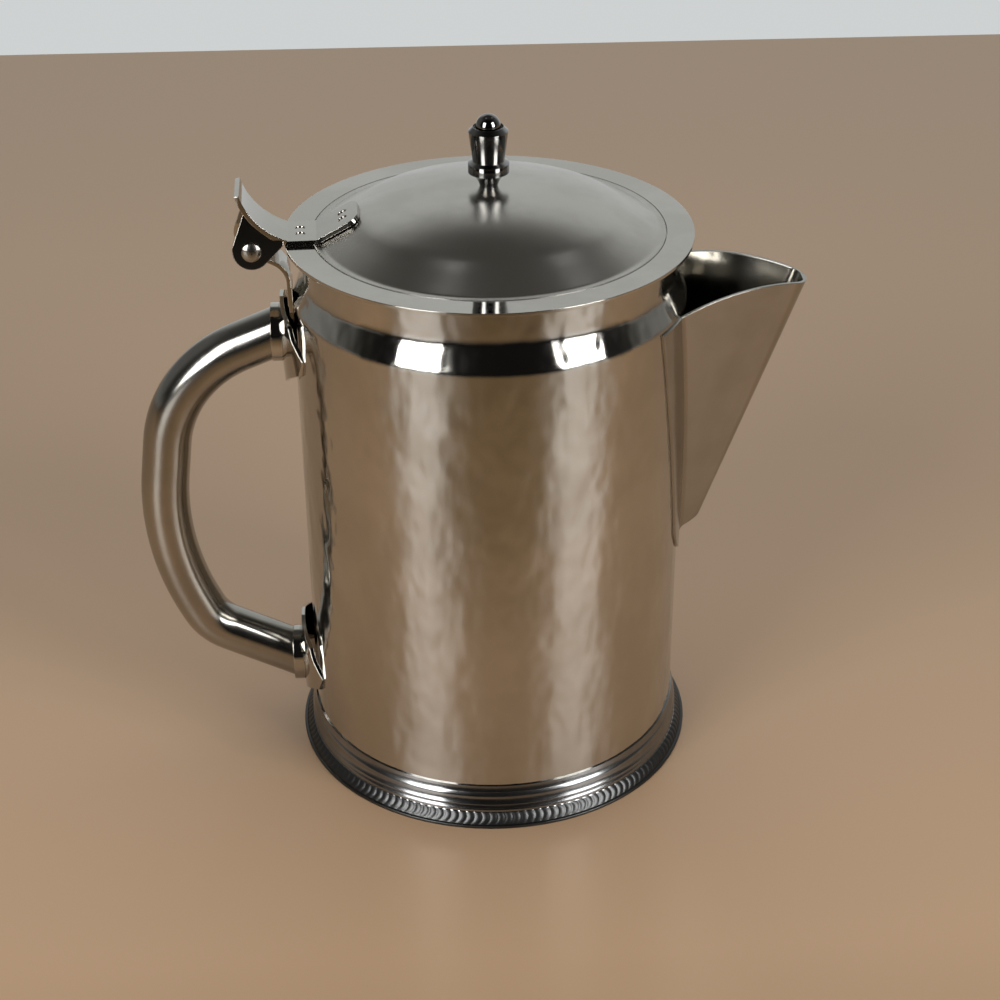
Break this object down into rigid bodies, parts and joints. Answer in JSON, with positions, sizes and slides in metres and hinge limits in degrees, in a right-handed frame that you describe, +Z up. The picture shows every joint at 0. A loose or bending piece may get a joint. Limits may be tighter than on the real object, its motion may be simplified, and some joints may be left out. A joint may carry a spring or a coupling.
{
  "type": "syrup dispenser",
  "caption": "Round metal syrup server with a gadrooned foot, pouring spout, bent tube handle and a domed lid that swings open on a pin.",
  "frame": {"origin": "centre of the foot, on the surface that the pot stands on", "axes": "+X from the pot's axis towards the spout, -X towards the handle and the hinge, +Y across the pot, +Z up the pot's axis"},
  "size_m": [0.2093, 0.1298, 0.2127],
  "materials": {
    "mirror_steel": "mirror-polished stainless steel",
    "satin_steel": "soft satin stainless steel"
  },
  "bodies": {
    "pot": {"body_shell": "mirror_steel", "bottom_pan": "satin_steel", "base_ring": "mirror_steel", "spout": "mirror_steel", "handle_tube": "mirror_steel", "upper_ferrule": "mirror_steel", "lower_ferrule": "mirror_steel", "upper_handle_plate": "mirror_steel", "lower_handle_plate": "mirror_steel", "hinge_bracket": "mirror_steel"},
    "lid": {"lid_flange": "mirror_steel", "lid_dome": "satin_steel", "hinge_strap": "mirror_steel", "hinge_pin": "mirror_steel", "knob": "mirror_steel", "knob_cap": "mirror_steel", "knob_washer": "satin_steel", "knob_screw": "satin_steel"}
  },
  "joints": [
    {"name": "lid_hinge", "type": "hinge", "parent": "pot", "child": "lid", "pos_m": [-0.07074, -0.00296, 0.176], "axis": [0.0419, -0.9991, 0], "range_deg": [0, 105]}
  ]
}
